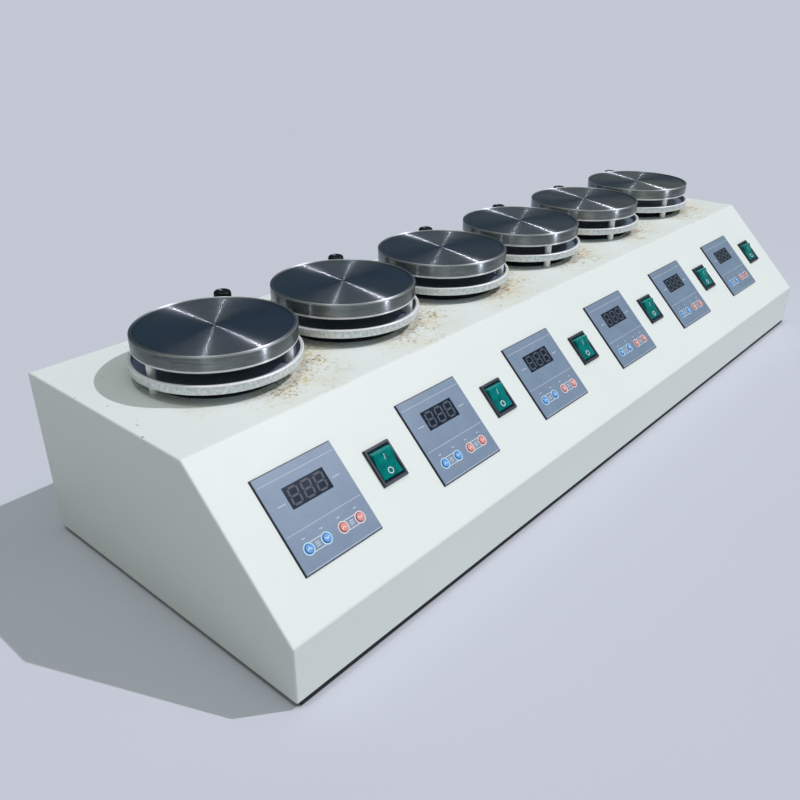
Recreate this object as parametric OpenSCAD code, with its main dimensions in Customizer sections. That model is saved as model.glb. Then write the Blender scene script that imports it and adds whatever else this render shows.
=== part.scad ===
// Six-place hotplate stirrer: a long folded-steel console with six round hot plates on its deck,
// and a temperature controller, a rocker switch and a speed knob for each place.
// Millimetres, +Z up, front towards -Y, origin under the middle of the feet.

/* [Housing] */
// Height of the deck above the housing's bottom edge
deck_h = 139.5; // [130:0.5:170]
// Height of the upright front lip
lip_h = 44.5; // [30:0.5:50]
// Level depth of the sloping front
slope_run = 96; // [90:1:110]
// Thickness of the cover's sheet steel
sheet_t = 1.5; // [1:0.1:2]
// Outside radius of the long folds
fold_r = 3; // [2.5:0.25:5]
// Radius of the ground edges round both end walls
edge_r = 1.5; // [0.5:0.25:2.5]
// Deck between the slope's top fold and the heat trays
tray_front_gap = 27.5; // [20:0.5:40]
// Deck between the heat trays and the rear wall
tray_rear_gap = 36.5; // [32:0.5:60]
// Room from the outer stations' centres to the end walls
end_room = 101.75; // [96:0.25:130]

/* [Base] */
// Thickness of the base plate
base_t = 1.5; // [1:0.1:3]
// Gap round the base plate inside the cover
base_gap = 0.5; // [0.2:0.1:1]
// Height of the rubber feet
foot_h = 5; // [4.5:0.5:12]
// Diameter of a foot where it meets the base plate
foot_d = 24; // [18:1:32]
// Taper of a foot's radius from top to bottom
foot_taper = 1.5; // [0.5:0.25:3]
// Distance of the feet from the cover's walls
foot_inset = 40; // [30:1:60]
// Thread diameter of the base and foot screws
screw_d = 4; // [3:0.5:5]
// Head height of those screws
screw_head_h = 2.4; // [1.5:0.1:3]
// Side of the welded tabs that take the base screws
tab_w = 14; // [12:1:20]
// Thickness of those tabs
tab_t = 2; // [1.5:0.25:3]
// Width of a vent slot
vent_w = 3; // [2:0.5:4]
// Spacing of the vent slots
vent_pitch = 9; // [7:0.5:12]
// Height of the rear vent slots
vent_h = 26; // [15:1:40]
// Length of the base vent slots
base_vent_l = 60; // [30:1:90]

/* [Hot plates] */
// Diameter of a hot plate
plate_d = 125; // [110:1:150]
// Height of a hot plate's side
plate_t = 12.2; // [10:0.1:15]
// Rounding of a hot plate's top edge
plate_edge_r = 0.8; // [0.4:0.1:2]
// Width of the rim round a plate's working face
plate_rim = 3; // [2:0.25:6]
// Depth of the working face below that rim
face_step = 0.4; // [0.2:0.05:0.8]
// Land between a plate's posts and its heater pocket
pocket_land = 5.5; // [1:0.25:8]
// Depth of the heater pocket
pocket_depth = 6.5; // [5:0.1:7]
// Thickness of the heating element
heater_t = 5; // [3:0.1:6]
// How far a heat tray reaches past its plate
tray_overhang = 3.5; // [2.5:0.25:8]
// Gap between neighbouring heat trays
tray_gap = 4.5; // [2:0.25:20]
// Height of a tray's rim
tray_h = 7; // [5:0.25:12]
// Thickness of a tray's floor
tray_floor = 2.5; // [1.5:0.25:4]
// Thickness of a tray's rim
tray_rim = 3; // [1.5:0.25:4]
// Gap between the deck and a tray
lower_gap = 8.5; // [6:0.25:14]
// Gap between a tray's rim and the plate's underside
upper_gap = 8; // [5:0.25:14]
// Diameter of a spacer post
post_d = 7; // [6:0.25:9]
// Thread diameter of the posts' studs
stud_d = 4; // [3:0.25:5]
// Distance of the posts' centres from a plate's rim
post_inset = 5; // [5:0.5:12]
// Turn of the posts of the right-hand stations against the left-hand ones
post_turn = 65; // [0:1:119]

/* [Stirring drive] */
// Gap between a turning magnet and the hole that it turns in
magnet_side_gap = 5; // [3:0.5:6]
// Length of the drive magnet's bar
magnet_l = 62; // [40:1:64]
// Width of the drive magnet's bar
magnet_w = 16; // [12:1:24]
// Thickness of the drive magnet's bar
magnet_t = 8; // [5:0.5:12]
// Clearance between a magnet's top and its heat tray
magnet_gap = 4; // [2:0.5:5]
// Diameter of the drive shaft
shaft_d = 6; // [4:0.5:8]
// Diameter of a motor
motor_d = 40; // [30:1:48]
// Length of a motor
motor_l = 45; // [30:1:55]
// Drop of the bracket's web below the deck sheet
bracket_drop = 30; // [22:1:35]
// Width of the bracket strip
bracket_w = 32; // [24:1:36]
// Thickness of the bracket strip
bracket_t = 2; // [1.5:0.25:3]
// Length of the bracket's welded flanges
bracket_flange = 12; // [8:1:14]

/* [Controllers] */
// Side of a controller's square face
panel_w = 72; // [66:1:78]
// Side of the moulded case behind the face
case_w = 67; // [62:0.5:69]
// Depth of the case behind the slope
case_depth = 38; // [25:1:45]
// Wall of the case
case_wall = 2; // [1.5:0.25:3]
// How far a bezel stands out of the slope
bezel_proud = 1.2; // [0.8:0.1:3]
// Bevel round a bezel
bezel_bevel = 0.6; // [0.2:0.1:0.8]
// Thickness of the printed face film
film_t = 0.3; // [0.2:0.05:0.6]
// Bezel left showing round the film
film_margin = 0.9; // [0.7:0.1:2]
// Width of a display window
window_w = 36.5; // [30:0.5:40]
// Height of a display window
window_h = 15.8; // [12:0.2:20]
// Thickness of a display window
window_t = 1; // [0.6:0.1:1.4]
// Height of a window's centre above the panel's centre
window_rise = 13.7; // [10:0.1:16]
// Diameter of a key's cap
key_d = 6; // [5:0.1:7]
// How far a key stands above the film
key_proud = 0.8; // [0.6:0.1:1.5]
// Travel of a key
key_travel = 0.5; // [0.3:0.05:0.7]
// Spacing of the keys
key_pitch = 15.7; // [13:0.1:16]
// Drop of the key row below the panel's centre
key_drop = 21.1; // [18:0.1:24]

/* [Switches] */
// Width of a switch frame
frame_w = 26; // [24:0.5:30]
// Height of a switch frame
frame_h = 30.5; // [29:0.5:34]
// How far a switch frame stands out of the slope
frame_proud = 2; // [1.5:0.1:3]
// Gap between a controller and its switch
switch_gap = 19.5; // [15:0.5:26]
// Gap between one station's switch and the next controller
group_gap = 23; // [18:0.5:30]
// Height of the switches above the slope's middle line
switch_rise = 2; // [-4:0.5:6]
// Width of a rocker
rocker_w = 19.4; // [17:0.1:20]
// Radius of a rocker's ends about its pivot
rocker_r = 11.7; // [10.5:0.1:12]
// Swing of a rocker from off to on
rocker_swing = 20; // [14:1:24]
// Height of a rocker's valley above its pivot
rocker_h = 4.5; // [3.5:0.1:5]
// Diameter of a rocker's stub axles
axle_d = 3; // [2:0.1:4]

/* [Speed knobs] */
// Diameter of a knob
knob_d = 15; // [13:0.5:20]
// Height of a knob's top above the deck
knob_top = 29.5; // [22:0.5:34]
// Rounding of a knob's top
knob_round = 2.4; // [1:0.1:4]
// Number of flutes round a knob
knob_flutes = 18; // [12:1:24]
// Distance of the knobs from the rear wall
knob_rear = 30.5; // [22:0.5:34]
// Distance of a knob from the middle between two stations
knob_shift = 6.25; // [0:0.25:10]
// Diameter of the potentiometer under the deck
pot_d = 17; // [14:0.5:24]
// Height of the potentiometer's body
pot_h = 9; // [6:0.5:12]
// Diameter of its threaded bushing
bushing_d = 7; // [6:0.1:8]

/* [Mains inlet] */
// Width of the inlet's flange
inlet_w = 50; // [48:1:56]
// Height of the inlet's flange
inlet_h = 28; // [26:1:34]
// Thickness of the inlet's flange
inlet_flange_t = 2.5; // [2:0.25:4]
// Width of the socket's mouth
mouth_w = 24; // [23.5:0.1:25]
// Height of the socket's mouth
mouth_h = 16.4; // [16:0.1:17]
// Depth of the socket
mouth_depth = 16; // [14:0.5:18]
// Wall of the socket behind the flange
socket_wall = 2; // [1.5:0.25:2.5]
// Distance of the inlet from the right-hand end wall
inlet_side = 75; // [55:1:110]
// Height of the inlet above the housing's bottom edge
inlet_rise = 38; // [25:1:50]

/* [Hidden] */
station_count = 6;
key_names = ["blue_key_up", "blue_key_down", "red_key_up", "red_key_down"];

// Clearances
run_clear = 0.05;
seat_clear = 0.15;
move_clear = 0.3;
cut_clear = 0.5;
through = 1;

// Stations along the length
tray_d = plate_d + 2 * tray_overhang;
station_pitch = tray_d + tray_gap;
body_l = (station_count - 1) * station_pitch + 2 * end_room;
body_d = slope_run + tray_front_gap + tray_d + tray_rear_gap;

// Levels and planes of the housing
front_y = -(body_d + inlet_flange_t) / 2;
rear_y = front_y + body_d;
deck_z = foot_h + deck_h;
lip_z = foot_h + lip_h;
slope_top_y = front_y + slope_run;
plate_y = slope_top_y + tray_front_gap + tray_d / 2;
slope_angle = atan2(deck_h - lip_h, slope_run);
slope_len = norm([slope_run, deck_h - lip_h]);
fold_steps = 6;
edge_steps = 3;

// Stack of one station, above the deck
tray_z = lower_gap;
plate_z = tray_z + tray_h + upper_gap;
plate_top = plate_z + plate_t;
post_circle_r = plate_d / 2 - post_inset;
pocket_d = 2 * (post_circle_r - post_d / 2 - pocket_land);
post_web = 2;
stud_spare = 1;
tray_thread = lower_gap - post_web - stud_spare;
plate_thread = 5.5;
nut_h = 3.2;
nut_d = 2 * stud_d;
wire_hole_d = 12;
tray_edge_r = 0.8;

// Drive, below the deck
drive_hole_d = magnet_l + 2 * magnet_side_gap;
magnet_top = lower_gap - magnet_gap;
magnet_z = magnet_top - magnet_t;
hub_d = 16;
hub_h = 10;
boss_d = 15;
bearing_depth = 22;
bracket_z = -sheet_t - bracket_drop;
bracket_leg_gap = 4;
bracket_half = drive_hole_d / 2 + bracket_leg_gap;

// Controls along the slope
group_w = panel_w + switch_gap + frame_w;
control_pitch = group_w + group_gap;
face_t = 3;
film_w = panel_w - 2 * film_margin;
face_top = bezel_proud + film_t;
face_back = bezel_proud - face_t;
key_flange_t = 0.8;
key_flange_d = key_d + 2.4;
key_stem_d = 3;
key_stem_l = 2;
board_t = 1.6;
board_w = case_w - 2 * case_wall - 2 * seat_clear;
tact_h = 3.5;
tact_w = 6;
board_top = face_back - key_flange_t - key_stem_l - key_travel - seat_clear - tact_h;

// Rocker and frame, measured from the pivot
rocker_lean = rocker_swing / 2;
rocker_sink = 0.5;
pivot_depth = rocker_h * cos(rocker_lean) + rocker_sink - frame_proud;
frame_open_w = rocker_w + 2 * move_clear;
frame_open_h = 2 * (rocker_r + move_clear);
frame_wall = 1.2;
frame_body_w = frame_open_w + 2 * frame_wall;
frame_body_h = frame_open_h + 2 * frame_wall;
frame_recess = 0.8;
frame_step = 1.1;
frame_floor = 2;
rocker_keel = 5;

// Knob and potentiometer, measured from the deck
knob_x = station_pitch / 2 - knob_shift;
knob_y = rear_y - knob_rear;
knob_foot = 1.2;
washer_t = 0.6;
pot_nut_h = 2;
pot_nut_d = bushing_d + 4.5;
bushing_spare = 2.4;
bushing_top = washer_t + pot_nut_h + bushing_spare;
knob_wall = 1.2;
knob_cavity_d = knob_d - 2 * knob_wall;
cavity_top = bushing_top + through;
pot_floor = 1;
pot_lug = [12, 8, 2];
flute_d = 1.6;

// Mains inlet
inlet_x = body_l / 2 - inlet_side;
inlet_z = foot_h + inlet_rise;
inlet_screw_pitch = inlet_w - 10;
inlet_screw_d = 3;
inlet_head_d = 2 * inlet_screw_d;
inlet_head_h = (inlet_head_d - inlet_screw_d) / 2;
inlet_nut_h = 2.4;
socket_depth = mouth_depth + socket_wall;
mouth_chamfer = 4.5;
pin_size = [2, 4];
pin_l = mouth_depth - 3;
pin_tail = 8;
pin_spots = [[-7, -2], [0, 2], [7, -2]];

// Base plate, its screws and feet
base_l = body_l - 2 * sheet_t - 2 * base_gap;
base_d = body_d - 2 * sheet_t - 2 * base_gap;
body_mid_y = (front_y + rear_y) / 2;
tab_rows = 6;
tab_row_x = [for (i = [0:tab_rows - 1]) (i / (tab_rows - 1) - 0.5) * (body_l - 3 * tab_w)];
tab_y = body_d / 2 - sheet_t / 2 - tab_w / 2;
tab_x = body_l / 2 - sheet_t / 2 - tab_w / 2;
foot_spots = [
    for (x = [-1, 0, 1]) for (y = [-1, 1])
        [x * (body_l / 2 - foot_inset), body_mid_y + y * (body_d / 2 - foot_inset)]
];
tab_spots = concat(
    [for (x = tab_row_x) for (y = [-1, 1]) [x, body_mid_y + y * tab_y]],
    [for (x = [-1, 1]) [x * tab_x, body_mid_y]]
);
screw_tip = 3;
foot_web = 2;
vent_count = 7;
rear_vent_drop = 45;
rear_vent_z = deck_z - rear_vent_drop;

fixed_nodes = [
    "housing_cover", "base_plate", "rubber_feet", "base_screws",
    "hot_plates", "heaters", "heat_trays", "spacer_posts",
    "stir_motors", "motor_brackets",
    "controller_bezels", "face_films", "display_windows", "controller_boards",
    "switch_frames", "speed_pots", "power_inlet", "inlet_pins"
];
$fn = 64;

// Places
function along(i, pitch) = (i - (station_count + 1) / 2) * pitch;
function panel_x(i) = along(i, control_pitch) - group_w / 2 + panel_w / 2;
function switch_x(i) = along(i, control_pitch) + group_w / 2 - frame_w / 2;
function vent_x(i, k) = along(i, station_pitch) + (k - (vent_count - 1) / 2) * vent_pitch;
function key_x(k) = (k - (len(key_names) - 1) / 2) * key_pitch;
function turn_of(i) = i > station_count / 2 ? post_turn : 0;
function post_angles(i) = [for (k = [0:2]) 60 + 120 * k + turn_of(i)];

// Outlines
function unit(v) = v / norm(v);
function half_angle(a, p, b) = acos(unit(a - p) * unit(b - p)) / 2;
function inward(a, p, b) = unit(unit(a - p) + unit(b - p)) / sin(half_angle(a, p, b));
function short_way(from, to) = (to - from + 540) % 360 - 180;
function arc(c, r, from, sweep, steps) =
    [for (i = [0:steps]) c + r * [cos(from + sweep * i / steps), sin(from + sweep * i / steps)]];
function fillet(a, p, b, r, steps) = r <= 0 ? [p] :
    let (c = p + r * inward(a, p, b),
         start = p + unit(a - p) * r / tan(half_angle(a, p, b)) - c,
         end = p + unit(b - p) * r / tan(half_angle(a, p, b)) - c,
         from = atan2(start.y, start.x))
    arc(c, r, from, short_way(from, atan2(end.y, end.x)), steps);
function rounded(points, radii, steps) = let (n = len(points))
    [for (i = [0:n - 1])
        each fillet(points[(i + n - 1) % n], points[i], points[(i + 1) % n], radii[i], steps)];

module along_x(length) {
    rotate([90, 0, 90]) linear_extrude(length, center = true) children();
}

module along_y(length) {
    rotate([90, 0, 0]) linear_extrude(length, center = true) children();
}

module at_station(i) {
    translate([along(i, station_pitch), plate_y, deck_z]) children();
}

module at_posts(i) {
    at_station(i) for (a = post_angles(i)) rotate(a) translate([post_circle_r, 0, 0]) children();
}

module at_knob(i) {
    translate([along(i, station_pitch) + knob_x, knob_y, deck_z]) children();
}

// On the slope, +X right, +Y up the slope, +Z straight out of it
module on_slope(x, rise = 0) {
    translate([x, slope_top_y, deck_z])
        rotate([slope_angle, 0, 0]) translate([0, rise - slope_len / 2, 0]) children();
}

module at_panel(i) {
    on_slope(panel_x(i)) children();
}

module at_switch(i) {
    on_slope(switch_x(i), switch_rise) children();
}

module at_inlet() {
    translate([inlet_x, rear_y, inlet_z]) rotate([90, 0, 180]) children();
}

module at_inlet_screws() {
    at_inlet() for (side = [-1, 1]) translate([side * inlet_screw_pitch / 2, 0, 0]) children();
}

module box(w, h, low, high) {
    translate([-w / 2, -h / 2, low]) cube([w, h, high - low]);
}

module rod(d, low, high) {
    translate([0, 0, low]) cylinder(d = d, h = high - low);
}

module hex(d, low, high) {
    translate([0, 0, low]) cylinder(d = d, h = high - low, $fn = 6);
}

// Block whose four sides lean in by one amount over its height
module bevelled_block(w, h, low, high, lean) {
    height = high - low;
    profile = function (half) [[-half, 0], [half, 0], [half - lean, height], [lean - half, height]];
    translate([0, 0, low]) intersection() {
        along_y(h) polygon(profile(w / 2));
        along_x(w) polygon(profile(h / 2));
    }
}

// Housing

side_points = [
    [front_y, foot_h], [front_y, lip_z], [slope_top_y, deck_z], [rear_y, deck_z], [rear_y, foot_h]
];

function inset_side(i) =
    side_points[i] + sheet_t * inward(side_points[i - 1], side_points[i], side_points[i + 1]);

module housing_solid() {
    far = body_l;
    end_x = body_l / 2;
    intersection() {
        along_x(body_l) polygon(rounded(side_points, [0, fold_r, fold_r, fold_r, 0], fold_steps));
        translate([0, body_mid_y, 0]) along_y(2 * body_d)
            polygon(rounded(
                [[-end_x, 0], [-end_x, deck_z], [end_x, deck_z], [end_x, 0]],
                [0, edge_r, edge_r, 0], edge_steps));
        linear_extrude(2 * deck_z)
            polygon(rounded(
                [[-end_x, front_y], [-end_x, rear_y], [end_x, rear_y], [end_x, front_y]],
                [edge_r, edge_r, edge_r, edge_r], edge_steps));
        on_slope(0) along_y(far)
            polygon(rounded(
                [[-end_x, -far], [-end_x, 0], [end_x, 0], [end_x, -far]],
                [0, edge_r, edge_r, 0], edge_steps));
    }
}

module housing_hollow() {
    fold_in = fold_r - sheet_t;
    along_x(body_l - 2 * sheet_t) polygon(rounded(
        [
            [front_y + sheet_t, foot_h - through],
            inset_side(1), inset_side(2), inset_side(3),
            [rear_y - sheet_t, foot_h - through]
        ],
        [0, fold_in, fold_in, fold_in, 0], fold_steps));
}

module deck_cuts() {
    for (i = [1:station_count]) {
        at_station(i) rod(drive_hole_d, -sheet_t - through, through);
        at_posts(i) rod(stud_d + 2 * seat_clear, -sheet_t - through, through);
        at_knob(i) rod(bushing_d + 2 * seat_clear, -sheet_t - through, through);
    }
}

module slope_cuts() {
    for (i = [1:station_count]) {
        at_panel(i) box(case_w + cut_clear, case_w + cut_clear, -sheet_t - through, through);
        at_switch(i)
            box(frame_body_w + cut_clear, frame_body_h + cut_clear, -sheet_t - through, through);
    }
}

module rear_cuts() {
    at_inlet()
        box(mouth_w + 2 * socket_wall + cut_clear, mouth_h + 2 * socket_wall + cut_clear,
            -sheet_t - through, through);
    at_inlet_screws() rod(inlet_screw_d + 2 * seat_clear, -sheet_t - through, through);
    for (i = [1:station_count]) for (k = [0:vent_count - 1])
        translate([vent_x(i, k), rear_y, rear_vent_z])
            cube([vent_w, 2 * (sheet_t + through), vent_h], center = true);
}

module base_tabs() {
    tab_low = foot_h + base_t;
    for (p = tab_spots) translate([p.x, p.y, 0]) box(tab_w, tab_w, tab_low, tab_low + tab_t);
}

module housing_cover() {
    color("ivory") difference() {
        union() {
            difference() {
                housing_solid();
                housing_hollow();
            }
            base_tabs();
        }
        deck_cuts();
        slope_cuts();
        rear_cuts();
        for (p = tab_spots) translate([p.x, p.y, foot_h])
            rod(screw_d + 2 * seat_clear, base_t - through, base_t + tab_t + through);
    }
}

// Base

module base_plate() {
    color("lightgray") difference() {
        translate([0, body_mid_y, 0]) box(base_l, base_d, foot_h, foot_h + base_t);
        for (p = concat(tab_spots, foot_spots)) translate([p.x, p.y, foot_h])
            rod(screw_d + 2 * seat_clear, -through, base_t + through);
        for (i = [1:station_count]) for (k = [0:vent_count - 1])
            translate([vent_x(i, k), body_mid_y, 0])
                box(vent_w, base_vent_l, foot_h - through, foot_h + base_t + through);
    }
}

module rubber_feet() {
    head_room = screw_d * 2 + 2 * cut_clear;
    color("dimgray") for (p = foot_spots) translate([p.x, p.y, 0]) difference() {
        cylinder(d1 = foot_d - 2 * foot_taper, d2 = foot_d, h = foot_h);
        rod(screw_d + 2 * seat_clear, -through, foot_h + through);
        rod(head_room, -through, foot_h - foot_web);
    }
}

// Cross for a screwdriver, as long as the thread is thick
module cross_recess(d, low, high) {
    for (turn = [0, 90]) rotate(turn) box(d, d / 4, low, high);
}

// Pan-head screw that points up, with the underside of its head at seat
module pan_screw(seat, grip) {
    low = seat - screw_head_h;
    head = rounded(
        [[0, low], [screw_d, low], [screw_d, seat], [0, seat]],
        [0, screw_head_h / 2, 0, 0], edge_steps);
    difference() {
        union() {
            rotate_extrude() polygon(head);
            rod(screw_d, seat - through, seat + grip + screw_tip);
        }
        cross_recess(screw_d, low - through, low + screw_head_h / 2);
    }
}

// Countersunk screw, flush with the inlet's flange, and its nut behind the wall
module inlet_screw() {
    nut_low = -sheet_t - inlet_nut_h;
    difference() {
        union() {
            rod(inlet_screw_d, nut_low - stud_spare, inlet_flange_t);
            translate([0, 0, inlet_flange_t - inlet_head_h])
                cylinder(d1 = inlet_screw_d, d2 = inlet_head_d, h = inlet_head_h);
        }
        cross_recess(inlet_screw_d, inlet_flange_t - inlet_head_h / 2, inlet_flange_t + through);
    }
    difference() {
        hex(inlet_head_d, nut_low, -sheet_t);
        rod(inlet_screw_d + 2 * seat_clear, nut_low - through, through);
    }
}

module base_screws() {
    color("silver") {
        for (p = tab_spots) translate([p.x, p.y, 0]) pan_screw(foot_h, base_t + tab_t);
        for (p = foot_spots) translate([p.x, p.y, 0]) pan_screw(foot_h - foot_web, foot_web + base_t);
        at_inlet_screws() inlet_screw();
    }
}

// Heating stations

module hot_plates() {
    rim = plate_d / 2;
    inner = rim - plate_rim;
    face_z = plate_top - face_step;
    profile = rounded(
        [
            [0, plate_z], [rim, plate_z], [rim, plate_top],
            [inner, plate_top], [inner - face_step, face_z], [0, face_z]
        ],
        [0, plate_edge_r, plate_edge_r, 0, 0, 0], edge_steps);
    color("gray") for (i = [1:station_count]) difference() {
        at_station(i) rotate_extrude() polygon(profile);
        at_station(i) rod(pocket_d, plate_z - through, plate_z + pocket_depth);
        at_posts(i)
            rod(stud_d + 2 * seat_clear, plate_z - through, plate_z + plate_thread + stud_spare);
    }
}

module heaters() {
    top = plate_z + pocket_depth;
    color("tan") for (i = [1:station_count]) at_station(i) difference() {
        rod(pocket_d - 2 * move_clear, top - heater_t, top);
        rod(wire_hole_d, top - heater_t - through, top + through);
    }
}

module heat_trays() {
    rim = tray_d / 2;
    inner = rim - tray_rim;
    profile = rounded(
        [
            [wire_hole_d / 2, tray_z], [rim, tray_z], [rim, tray_z + tray_h], [inner, tray_z + tray_h],
            [inner, tray_z + tray_floor], [wire_hole_d / 2, tray_z + tray_floor]
        ],
        [0, tray_edge_r, tray_edge_r, 0, 0, 0], edge_steps);
    color("darkgray") for (i = [1:station_count]) difference() {
        at_station(i) rotate_extrude() polygon(profile);
        at_posts(i) rod(stud_d + 2 * seat_clear, tray_z - through, tray_z + tray_floor + through);
    }
}

module lower_post() {
    difference() {
        rod(post_d, 0, tray_z);
        rod(stud_d + 2 * seat_clear, post_web, tray_z + through);
    }
    rod(stud_d, -sheet_t - nut_h - stud_spare, post_web / 2);
}

module upper_post() {
    floor_z = tray_z + tray_floor;
    rod(post_d, floor_z, plate_z);
    rod(stud_d, tray_z - tray_thread, plate_z + plate_thread);
}

module post_nut() {
    difference() {
        hex(nut_d, -sheet_t - nut_h, -sheet_t);
        rod(stud_d + 2 * seat_clear, -sheet_t - nut_h - through, through);
    }
}

module spacer_posts() {
    color("silver") for (i = [1:station_count]) at_posts(i) {
        lower_post();
        upper_post();
        post_nut();
    }
}

// Stirring drive

module motor_brackets() {
    leg_low = bracket_z - bracket_t;
    color("gainsboro") for (i = [1:station_count]) at_station(i) rotate(turn_of(i)) difference() {
        along_x(bracket_w) {
            for (side = [-1, 1]) mirror([side < 0 ? 1 : 0, 0]) {
                translate([bracket_half - bracket_t, -sheet_t - bracket_t])
                    square([bracket_flange + bracket_t, bracket_t]);
                translate([bracket_half - bracket_t, leg_low]) square([bracket_t, -sheet_t - leg_low]);
            }
            translate([-bracket_half, leg_low]) square([2 * bracket_half, bracket_t]);
        }
        rod(boss_d + 2 * seat_clear, leg_low - through, leg_low + bracket_t + through);
    }
}

module stir_motors() {
    top = bracket_z - bracket_t;
    profile = rounded(
        [[0, top - motor_l], [motor_d / 2, top - motor_l], [motor_d / 2, top], [0, top]],
        [0, 2, 1, 0], edge_steps);
    color("dimgray") for (i = [1:station_count]) at_station(i) difference() {
        union() {
            rotate_extrude() polygon(profile);
            rod(boss_d, top - through, top + bracket_t);
        }
        rod(shaft_d + 2 * run_clear, top - bearing_depth, top + bracket_t + through);
    }
}

module drive_magnet(i) {
    shaft_low = bracket_z - bracket_t - bearing_depth + move_clear;
    color("slategray") at_station(i) {
        intersection() {
            box(magnet_l, magnet_w, magnet_z, magnet_top);
            rod(magnet_l, magnet_z - through, magnet_top + through);
        }
        rod(hub_d, magnet_z - hub_h, magnet_z + through);
        rod(shaft_d, shaft_low, magnet_z + through);
    }
}

// Controllers

module key_spots() {
    for (k = [0:len(key_names) - 1])
        translate([key_x(k), -key_drop, 0]) children();
}

module controller_bezels() {
    inner = case_w - 2 * case_wall;
    post = 6;
    corner = inner / 2 - post / 2;
    color([0.12, 0.13, 0.15]) for (i = [1:station_count]) at_panel(i) difference() {
        union() {
            bevelled_block(panel_w, panel_w, 0, bezel_proud, bezel_bevel);
            box(case_w, case_w, -case_depth, through / 2);
        }
        difference() {
            box(inner, inner, -case_depth - through, face_back);
            for (x = [-corner, corner]) for (y = [-corner, corner])
                translate([x, y, 0]) box(post, post, board_top, face_back + through);
        }
        translate([0, window_rise, 0])
            box(window_w + 2 * seat_clear, window_h + 2 * seat_clear,
                face_top - window_t, face_top + through);
        translate([0, window_rise, 0])
            box(window_w - 2 * window_t, window_h - 2 * window_t, face_back - through, face_top + through);
        key_spots() rod(key_d + 2 * move_clear, face_back - through, face_top + through);
    }
}

module face_films() {
    color([0.53, 0.6, 0.69]) for (i = [1:station_count]) at_panel(i) difference() {
        box(film_w, film_w, bezel_proud, face_top);
        translate([0, window_rise, 0])
            box(window_w + 2 * seat_clear, window_h + 2 * seat_clear,
                bezel_proud - through, face_top + through);
        key_spots() rod(key_d + 2 * move_clear, bezel_proud - through, face_top + through);
    }
}

module display_windows() {
    color([0.1, 0.12, 0.16]) for (i = [1:station_count]) at_panel(i)
        translate([0, window_rise, 0]) box(window_w, window_h, face_top - window_t, face_top);
}

module controller_boards() {
    digits_w = window_w - 2 * window_t - 2 * cut_clear;
    digits_h = window_h - 2 * window_t - 2 * cut_clear;
    relay_h = 15;
    color("seagreen") for (i = [1:station_count]) at_panel(i) {
        box(board_w, board_w, board_top - board_t, board_top);
        translate([0, window_rise, 0]) box(digits_w, digits_h, board_top - through, face_back - cut_clear);
        key_spots() box(tact_w, tact_w, board_top - through, board_top + tact_h);
        translate([-board_w / 4, 0, 0])
            box(board_w / 3, board_w / 3, board_top - board_t - relay_h, board_top - through);
        translate([board_w / 4, 0, 0])
            box(board_w / 4, board_w / 2, board_top - board_t - relay_h, board_top - through);
    }
}

module key_cap(i, k) {
    colours = ["deepskyblue", "deepskyblue", "salmon", "salmon"];
    top = face_top + key_proud;
    crown = 0.4;
    color(colours[k]) at_panel(i) translate([key_x(k), -key_drop, 0]) {
        rotate_extrude() polygon(rounded(
            [
                [0, face_back - key_flange_t], [key_flange_d / 2, face_back - key_flange_t],
                [key_flange_d / 2, face_back], [key_d / 2, face_back], [key_d / 2, top], [0, top]
            ],
            [0, 0, 0, 0, crown, 0], edge_steps));
        rod(key_stem_d, face_back - key_flange_t - key_stem_l, face_back);
    }
}

// Switches

module switch_frames() {
    body_low = -pivot_depth - rocker_r - frame_floor;
    tab = [0.8, 6.3, 8];
    color([0.1, 0.1, 0.11]) for (i = [1:station_count]) at_switch(i) difference() {
        union() {
            bevelled_block(frame_w, frame_h, 0, frame_proud, frame_step / 2);
            box(frame_body_w, frame_body_h, body_low, through / 2);
            for (x = [-1, 1]) for (y = [-1, 1])
                translate([x * frame_body_w / 4, y * frame_body_h / 4, 0])
                    box(tab.x, tab.y, body_low - tab.z, body_low + through);
        }
        box(frame_open_w, frame_open_h, body_low + frame_floor, frame_proud + through);
        mirror([0, 0, 1]) translate([0, 0, -frame_proud])
            bevelled_block(frame_open_w + 2 * frame_step, frame_open_h + 2 * frame_step,
                0, frame_recess, frame_step);
        translate([0, 0, -pivot_depth]) along_x(frame_body_w + 2 * through)
            circle(d = axle_d + 2 * run_clear);
    }
}

module rocker_outline() {
    reach = 2 * rocker_r;
    difference() {
        circle(r = rocker_r);
        for (side = [0, 1]) mirror([side, 0])
            polygon([
                [0, rocker_h], [reach, rocker_h + reach * tan(rocker_lean)],
                [reach, 2 * reach], [0, 2 * reach]
            ]);
        translate([-reach, -rocker_keel - reach]) square([2 * reach, reach]);
    }
}

module rocker(i) {
    color("teal") at_switch(i) translate([0, 0, -pivot_depth]) rotate([rocker_lean, 0, 0]) {
        along_x(rocker_w) rocker_outline();
        along_x(frame_body_w) circle(d = axle_d);
    }
}

// Speed controls

module speed_pots() {
    low = -sheet_t - pot_h;
    color("darkgray") for (i = [1:station_count]) at_knob(i) {
        difference() {
            union() {
                rod(pot_d, low, -sheet_t);
                rod(bushing_d, low, bushing_top);
                translate([0, -pot_d / 2, 0]) box(pot_lug.x, pot_lug.y, low, low + pot_lug.z);
            }
            rod(shaft_d + 2 * run_clear, low + pot_floor, bushing_top + through);
        }
        difference() {
            union() {
                rod(pot_nut_d, 0, washer_t);
                hex(pot_nut_d, washer_t, washer_t + pot_nut_h);
            }
            rod(bushing_d + 2 * seat_clear, -through, bushing_top + through);
        }
    }
}

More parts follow.
